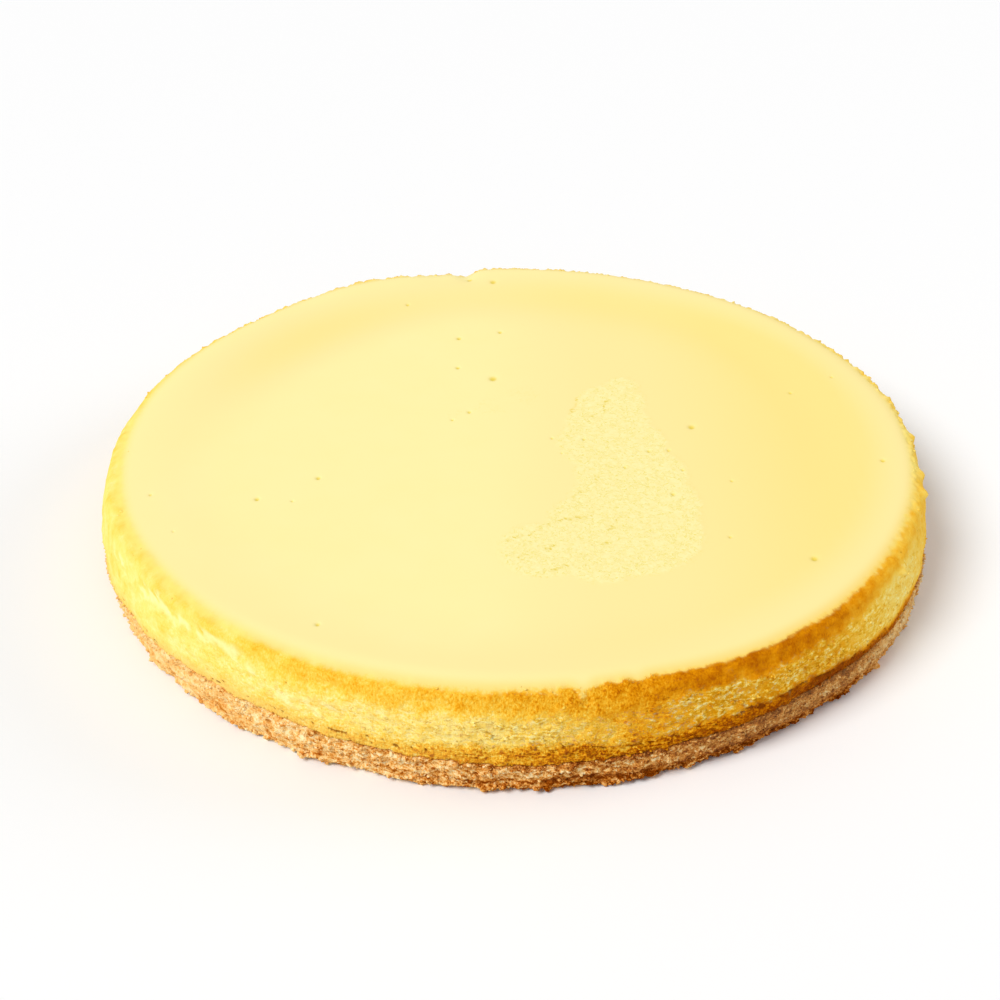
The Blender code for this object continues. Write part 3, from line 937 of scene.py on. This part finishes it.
def shape_filling(radius, height, angle, outward):
    """Where the points of the filling are, and the values that its material reads from them."""
    above = (height - UNDERSIDE_HEIGHT) / (CREST_HEIGHT - UNDERSIDE_HEIGHT)
    on_side = smooth_step((radius - CREST_RADIUS) / SHOULDER_REACH)
    place = around(radius, angle, height)
    x, y = place[:, 0], place[:, 1]

    lump = SIDE_LUMP * lumps(angle, height, SIDE_LUMPS_ROUND, SIDE_LUMP_HEIGHT, seed=11)
    reach = on_side * (lump + flake_reach(angle, height) + stretch_sum(angle, SIDE_STRETCHES))
    level = height + rim_lift(radius, angle) * above + layer_wave(radius, angle) * (1.0 - above)
    level += join_wobble(radius, angle) * within(1.0 - 4.0 * above)

    fray = round_the_cake(angle, SKIN_FRAY_MM) * MM
    fade = round_the_cake(angle, SKIN_FADE_MM) * MM
    skin_edge = SKIN_RADIUS + stretch_sum(angle, SKIN_STRETCHES)
    inside = (skin_edge + fray * fractal(place, 2.0 * MM, 3, seed=11) - radius) / fade
    bare = smooth_step(0.5 - 0.5 * inside)
    relief, values = side_bands(angle, level, place, bare)

    rough = torn_share(x, y) * (radius < CREST_RADIUS * 0.999)
    rough *= smooth_step(rough + 0.35 * fractal(place, 5.0 * MM, 3, seed=15) + 0.3)
    near, own = cells(place, TOP_PORE_SIZE, seed=12)
    slant = np.stack([0.8 * x + 0.6 * y, 2.8 * (0.8 * y - 0.6 * x), height], axis=1)
    squiggle = 1.0 - np.abs(fractal(slant, 5.0 * MM, 3, seed=13))
    top_pore = smooth_step((0.42 - near) / 0.3) * (own < 0.4)
    top_pore += 0.6 * smooth_step((squiggle - 0.92) / 0.08)
    bend = 0.7 * MM * fractal(place, 2.5 * MM, 2, seed=18)
    hair = crack_share(x + bend, y - bend) * within(0.5 + 3.0 * top_pore)
    pit = pit_share(x, y) * (radius < CREST_RADIUS)
    relief -= rough * (0.16 * top_pore - 0.06) + 0.6 * pit + 0.12 * hair
    ragged = within(stretch_sum(angle, RAGGED_STRETCHES))
    ragged *= bell(radius - skin_edge - 0.4 * MM, 1.4 * MM)
    crumbled = fractal(place, 2.2 * MM, 3, seed=20)
    relief += 0.75 * ragged * crumbled
    relief *= MM

    behind = smooth_step(0.5 + 0.9 * y / CREST_RADIUS)
    at_rim = smooth_step((radius - 104.0 * MM) / (14.0 * MM))
    warm = bell(radius - 99.0 * MM, 15.0 * MM) * stretch_sum(angle, WARM_STRETCHES)
    right = 0.4 * smooth_step((x + 25.0 * MM) / (60.0 * MM))
    right += 0.6 * smooth_step((x - 35.0 * MM) / (65.0 * MM))
    warm += right * (1.0 - 0.6 * at_rim)
    # Warmer near the front rim: partly a peachy tint the skin has there, partly painted shade on the lit
    # slope
    front = (1.0 - behind) * smooth_step((90.0 * MM - x) / (60.0 * MM))
    warm += 0.25 * front * smooth_step((radius - 98.0 * MM) / (24.0 * MM))
    values["inside_skin"] = inside
    values["top_pore"] = within(0.5 * rough * top_pore + pit + hair)
    values["rough_top"] = rough
    values["warm"] = within(warm)
    # Near its edge the skin takes the edge colour: partly its own warmer tint, partly painted shade on the
    # lit slope
    values["near_edge"] = smooth_step((radius - skin_edge) / (5.0 * MM) + 1.0) ** 2
    values["bake_and_shade"] += 0.08 * bell(above, 0.11) * within(stretch_sum(angle, JOIN_STRETCHES))
    bit_share = bare * 0.45 * smooth_step(2.0 * values["torn"] - 0.7)
    bit_share *= within(0.2 + 0.8 * values["wrinkled"])
    bit_share += 0.8 * bare * bell(above, 0.05)
    bit_share += 0.4 * ragged * smooth_step(0.4 + 1.5 * crumbled)
    values["bit_share"] = bit_share
    radius = (radius + reach + relief * outward[:, 0]) * out_of_round(angle)
    return around(radius, angle, level + relief * outward[:, 1]), values


# Colours as they look on a screen, as scales of (place, colour) or alone
CRUST_SHADES = (
    (0.0, (255, 236, 152)),
    (0.16, (254, 224, 116)),
    (0.32, (252, 206, 76)),
    (0.48, (246, 180, 40)),
    (0.64, (228, 145, 6)),
    (0.8, (186, 100, 0)),
    (1.0, (136, 60, 0)),
)
TORN_SHADES = (
    (0.05, (206, 138, 2)),
    (0.38, (240, 188, 46)),
    (0.65, (253, 220, 100)),
    (0.95, (255, 246, 168)),
)
WARM_SKIN_SHADES = ((0.3, (254, 235, 163)), (1.0, (251, 229, 142)))
PATCH_SHADES = ((0.1, (243, 226, 128)), (0.4, (252, 239, 166)), (0.85, (255, 247, 184)))
SKIN_CREAM = (254, 241, 172)
SKIN_DEEPER = (254, 239, 165)
EDGE_YELLOW = (253, 230, 122)
EDGE_GOLD = (250, 212, 104)
CRUST_TAN = (250, 208, 114)
STREAK_PALE_AND_HIGHLIGHT = (255, 248, 180)
PORE_SHADE = (176, 122, 20)
CREASE_SHADE = (216, 148, 12)
DOT_SHADE = (158, 84, 0)
CRACK_SHADE = (128, 62, 4)
PATCH_LINE = (238, 218, 104)
PIT_SHADE = (232, 206, 82)


def side_creases(tree, flaky, wrinkled):
    """How deep in a fine crease of the torn side a place is."""
    from_line = cloud(tree, 3.2 * MM, 3.0, 0.6, stretch=(1.0, 1.0, 2.6))
    crease = maths(tree, "ABSOLUTE", maths(tree, "SUBTRACT", from_line, 0.5))
    crease = times(tree, spread(tree, crease, 0.0, 0.028, 1.0, 0.0), wrinkled)
    return times(tree, crease, spread(tree, flaky, 0.42, 0.62))


def side_colour(tree, noises, values, crease):
    """Golden to brown crust, torn open to pale cheese, with its streak, pores, creases, dots and cracks."""
    grit, fine, flaky, flakes = noises
    own, baked, grainy, wrinkled = values
    bake_and_shade = maths(tree, "MULTIPLY_ADD", weighted(tree, 0.0, (grit, 1.0), (fine, 0.6)), grainy, baked)
    bake_and_shade = maths(tree, "MULTIPLY_ADD", weighted(tree, 0.0, (flakes, 1.4)), wrinkled, bake_and_shade)
    crust = ramp(tree, times(tree, bake_and_shade, 0.8), CRUST_SHADES)
    crust = blend(tree, times(tree, value_of(tree, "tan"), 0.8), crust, CRUST_TAN)
    bits = maths(tree, "MULTIPLY_ADD", baked, -0.42, maths(tree, "MULTIPLY_ADD", own, 0.3, 0.72))
    bits = weighted(tree, bits, (flaky, 1.3), (flakes, 0.8), (grit, 0.7))
    # Darker gold where the flakes' bump is low: partly the cheese's own colour, partly painted shade under
    # the flakes
    bits = maths(tree, "MULTIPLY_ADD", weighted(tree, 0.0, (flakes, 3.0)), wrinkled, bits)
    inside = ramp(tree, bits, TORN_SHADES)
    torn = weighted(tree, value_of(tree, "torn"), (flaky, 0.8), (grit, 0.5))
    side = blend(tree, spread(tree, torn, 0.1, 0.9, 0.0, 0.85), crust, inside)
    streak = weighted(tree, value_of(tree, "streak"), (fine, 0.6))
    # Pale cheese along the streak, partly a painted highlight
    side = blend(tree, spread(tree, streak, 0.0, 1.4, 0.0, 0.8), side, STREAK_PALE_AND_HIGHLIGHT)
    pore = weighted(tree, value_of(tree, "pore"), (grit, 1.0))
    side = blend(tree, spread(tree, pore, 0.3, 0.9, 0.0, 0.55), side, PORE_SHADE)
    # Painted shade in the fine creases of the torn side
    side = blend(tree, times(tree, crease, 0.6), side, CREASE_SHADE)
    specks = cloud(tree, 0.9 * MM, 1.0, 0.5, stretch=(1.0, 1.0, 1.5))
    dots = times(tree, spread(tree, specks, 0.58, 0.7, 0.0, 0.65), value_of(tree, "dotted"))
    side = blend(tree, dots, side, DOT_SHADE)
    crack = weighted(tree, value_of(tree, "crack"), (grit, 1.0))
    return blend(tree, spread(tree, crack, 0.25, 0.8, 0.0, 0.75), side, CRACK_SHADE)


def skin_colour(tree, noises, rough_top):
    """Cream skin, warmer near the rim and at the right, with the torn patch, its lines and the pits."""
    grit, fine, flaky, _ = noises
    skin = blend(tree, cloud(tree, 18.0 * MM, 2.0), SKIN_CREAM, SKIN_DEEPER)
    warm = value_of(tree, "warm")
    warm_skin = ramp(tree, warm, WARM_SKIN_SHADES)
    skin = blend(tree, spread(tree, warm, 0.0, 0.35), skin, warm_skin)
    flecks = weighted(tree, 0.5, (fine, 1.4), (grit, 0.7))
    flecked = ramp(tree, flecks, PATCH_SHADES)
    ragged_patch = weighted(tree, rough_top, (flaky, 0.8), (fine, 0.8))
    skin = blend(tree, spread(tree, ragged_patch, 0.3, 1.1, 0.0, 0.85), skin, flecked)
    line = maths(tree, "ABSOLUTE", maths(tree, "SUBTRACT", cloud(tree, 3.4 * MM, 4.0, 0.65), 0.5))
    line = times(tree, spread(tree, line, 0.0, 0.04, 0.85, 0.0), rough_top)
    line = times(tree, line, spread(tree, fine, 0.35, 0.65))
    skin = blend(tree, line, skin, PATCH_LINE)
    pitted = spread(tree, value_of(tree, "top_pore"), 0.1, 1.0, 0.0, 0.9)
    return blend(tree, pitted, skin, PIT_SHADE)


def cheese_material():
    """Baked cheese: the side's colour and the skin's, which meet at a frayed edge, and their relief."""
    material, tree, shader = empty_material("baked cheese", (250, 228, 140))
    grit = cloud(tree, 0.55 * MM, 2.0, 0.6, stretch=(1.0, 1.0, 0.6))
    fine = cloud(tree, 1.2 * MM, 4.0, 0.7, stretch=(1.0, 1.0, 1.3))
    flaky = cloud(tree, 3.0 * MM, 3.0, 0.6, stretch=(1.0, 1.0, 1.7))
    flakes = cloud(tree, 1.5 * MM, 3.0, 0.65, stretch=(1.0, 1.0, 2.3))
    noises = (grit, fine, flaky, flakes)
    own = value_of(tree, "own_shade")
    # How baked the cheese is, with painted shade in the deeper brown at the front right
    baked = maths(tree, "SUBTRACT", value_of(tree, "bake_and_shade"), own)
    grainy = value_of(tree, "grainy")
    wrinkled = value_of(tree, "wrinkled")
    rough_top = value_of(tree, "rough_top")
    crease = side_creases(tree, flaky, wrinkled)
    side = side_colour(tree, noises, (own, baked, grainy, wrinkled), crease)
    skin = skin_colour(tree, noises, rough_top)

    fringe = weighted(tree, 0.0, (grit, 2.0), (fine, 1.6))
    fringe = times(tree, fringe, maths(tree, "MINIMUM", grainy, 1.0))
    share = spread(tree, maths(tree, "ADD", value_of(tree, "inside_skin"), fringe), -1.0, 1.0)
    edge = blend(tree, spread(tree, baked, 0.15, 0.6), EDGE_YELLOW, EDGE_GOLD)
    # Near its edge the skin takes the edge colour, partly as painted shade on the slope facing the key
    # light
    skin = blend(tree, times(tree, value_of(tree, "near_edge"), 0.7), skin, edge)
    colour = blend(tree, spread(tree, share, 0.0, 0.55), side, edge)
    colour = blend(tree, spread(tree, share, 0.4, 1.0), colour, skin)
    tree.links.new(colour, shader.inputs["Base Color"])

    dry = spread(tree, fine, 0.2, 0.8, 0.62, 0.8)
    satin = add_node(tree, "ShaderNodeMix", {0: share, 2: dry, 3: 0.46}, data_type="FLOAT").outputs[0]
    tree.links.new(satin, shader.inputs["Roughness"])
    bare = maths(tree, "SUBTRACT", 1.0, share)
    rough_height = weighted(tree, fine, (grit, 0.6))
    rough_height = times(tree, rough_height, times(tree, bare, grainy))
    flake_height = maths(tree, "SUBTRACT", flakes, times(tree, crease, 0.3))
    flake_height = times(tree, flake_height, wrinkled)
    normal = bumps(tree, flake_height, 0.14 * MM, bumps(tree, rough_height, 0.35 * MM))
    top_height = times(tree, weighted(tree, fine, (grit, 0.5)), rough_top)
    tree.links.new(bumps(tree, top_height, 0.1 * MM, normal), shader.inputs["Normal"])
    shader.inputs["Specular IOR Level"].default_value = 0.01
    return material


def make_filling():
    """The filling as one closed body: dished top, rounded shoulder, browned side, hidden underside."""
    rows = filling_rows()
    tangent = np.gradient(rows, axis=0)
    normal = np.stack([-tangent[:, 1], tangent[:, 0]], axis=1) / np.hypot(*tangent.T)[:, None]
    spots = top_spots()
    spot_radius, spot_angle = radius_and_angle(spots)
    dish = (spot_radius - DISH_FLOOR_RADIUS) / (CREST_RADIUS - DISH_FLOOR_RADIUS)
    spot_height = CREST_HEIGHT - DISH_DEPTH * (1.0 - smooth_step(dish))
    base_spots = coarse_spots(rows[-1, 0], HIDDEN_SPACING)
    base_radius, base_angle = radius_and_angle(base_spots)

    radius = np.concatenate([np.repeat(rows[:, 0], FILLING_COLUMNS), spot_radius])
    height = np.concatenate([np.repeat(rows[:, 1], FILLING_COLUMNS), spot_height])
    angle = np.concatenate([np.tile(even_turns(FILLING_COLUMNS), len(rows)), spot_angle])
    upwards = np.tile([0.0, 1.0], (len(spots), 1))
    outward = np.concatenate([np.repeat(normal, FILLING_COLUMNS, axis=0), upwards])
    points, values = shape_filling(radius, height, angle, outward)
    base_height = rows[-1, 1] + layer_wave(base_radius, base_angle)
    base = around(base_radius * out_of_round(base_angle), base_angle, base_height)

    values = {label: np.concatenate([value, np.zeros(len(base))]) for label, value in values.items()}
    points = np.concatenate([points, base])
    quads = ring_quads(len(rows), FILLING_COLUMNS)
    triangles = capping_discs(rows, FILLING_COLUMNS, spots, base_spots)
    return new_piece("filling_body", points, quads, triangles, cheese_material(), values)


filling_body = make_filling()
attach(filling_body, "root")
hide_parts("cheese_filling")

# Torn bits
# Small bits of pale cheese stand out where the crust tore off the side, and stayed hanging by one end.
# They are the same set cheese, and made by the same scattering as the crumb grains.

TORN_BITS = {"Lumps a Square Metre": 7.0e5, "Least Size": 0.4 * MM, "Most Size": 1.2 * MM, "Seed": 3}

cheese_finish = filling_body.data.materials[0]
bit_tree = lump_tree("torn bits", "bit_share", 1, cheese_finish)
cheese_bits = scatter("cheese_bits", filling_body, bit_tree, TORN_BITS)
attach(cheese_bits, "root")
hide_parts("cheese_filling")

# Table, light and camera
# A plain white table in a white room, under a large soft light from the front left and a weak one
# from the right. The camera looks down on the cake from the front.

TABLE_SIZE = 8.0
CAMERA_PLACE = Vector((0.0, -0.42299, 0.27839))
CAMERA_RIGHT = Vector((0.99994416, 0.01046075, -0.00149781))
CAMERA_UP = Vector((-0.00441818, 0.54260533, 0.83997615))
CAMERA_FORWARD = Vector((-0.00959951, 0.83992263, -0.54262125))
CAMERA_LENS = 56.63
KEY_TOWARDS = (0.75, 0.5, -1.0)
KEY_POWER = 2.3
LIGHT_WIDTH = math.radians(30.0)
FILL_TOWARDS = (-1.0, -0.35, -0.4)
FILL_POWER = 0.75
ROOM_LIGHT = 0.42


def add_table():
    """The table top, just under the cake."""
    bpy.ops.mesh.primitive_plane_add(size=TABLE_SIZE, location=(0.0, 0.0, -0.05 * MM))
    table = bpy.context.object
    table.name = "table"
    material, _, shader = empty_material("white table", (250, 250, 250))
    shader.inputs["Base Color"].default_value = (0.96, 0.96, 0.96, 1.0)
    shader.inputs["Roughness"].default_value = 0.8
    table.data.materials.append(material)


def add_light(name, towards, power):
    """Soft light that falls evenly in one direction."""
    light = bpy.data.lights.new(name, "SUN")
    light.energy = power
    light.angle = LIGHT_WIDTH
    lamp = bpy.data.objects.new(name, light)
    lamp.rotation_euler = Vector(towards).to_track_quat("-Z", "Y").to_euler()
    bpy.context.scene.collection.objects.link(lamp)


def light_room():
    """An even white room."""
    room = bpy.data.worlds.new("room")
    room.use_nodes = True
    background = room.node_tree.nodes["Background"]
    background.inputs["Color"].default_value = (1.0, 1.0, 1.0, 1.0)
    background.inputs["Strength"].default_value = ROOM_LIGHT
    bpy.context.scene.world = room


def add_camera():
    """The camera at the photograph's place and angle."""
    view = bpy.data.cameras.new("camera")
    view.lens = CAMERA_LENS
    view.sensor_width = 36.0
    view.clip_start = 0.01
    camera = bpy.data.objects.new("camera", view)
    turned = Matrix((CAMERA_RIGHT, CAMERA_UP, -CAMERA_FORWARD)).transposed()
    camera.matrix_world = Matrix.Translation(CAMERA_PLACE) @ turned.to_4x4()
    bpy.context.scene.collection.objects.link(camera)
    bpy.context.scene.camera = camera


add_table()
add_light("key", KEY_TOWARDS, KEY_POWER)
add_light("fill", FILL_TOWARDS, FILL_POWER)
light_room()
add_camera()
bpy.context.scene.view_settings.view_transform = "Standard"
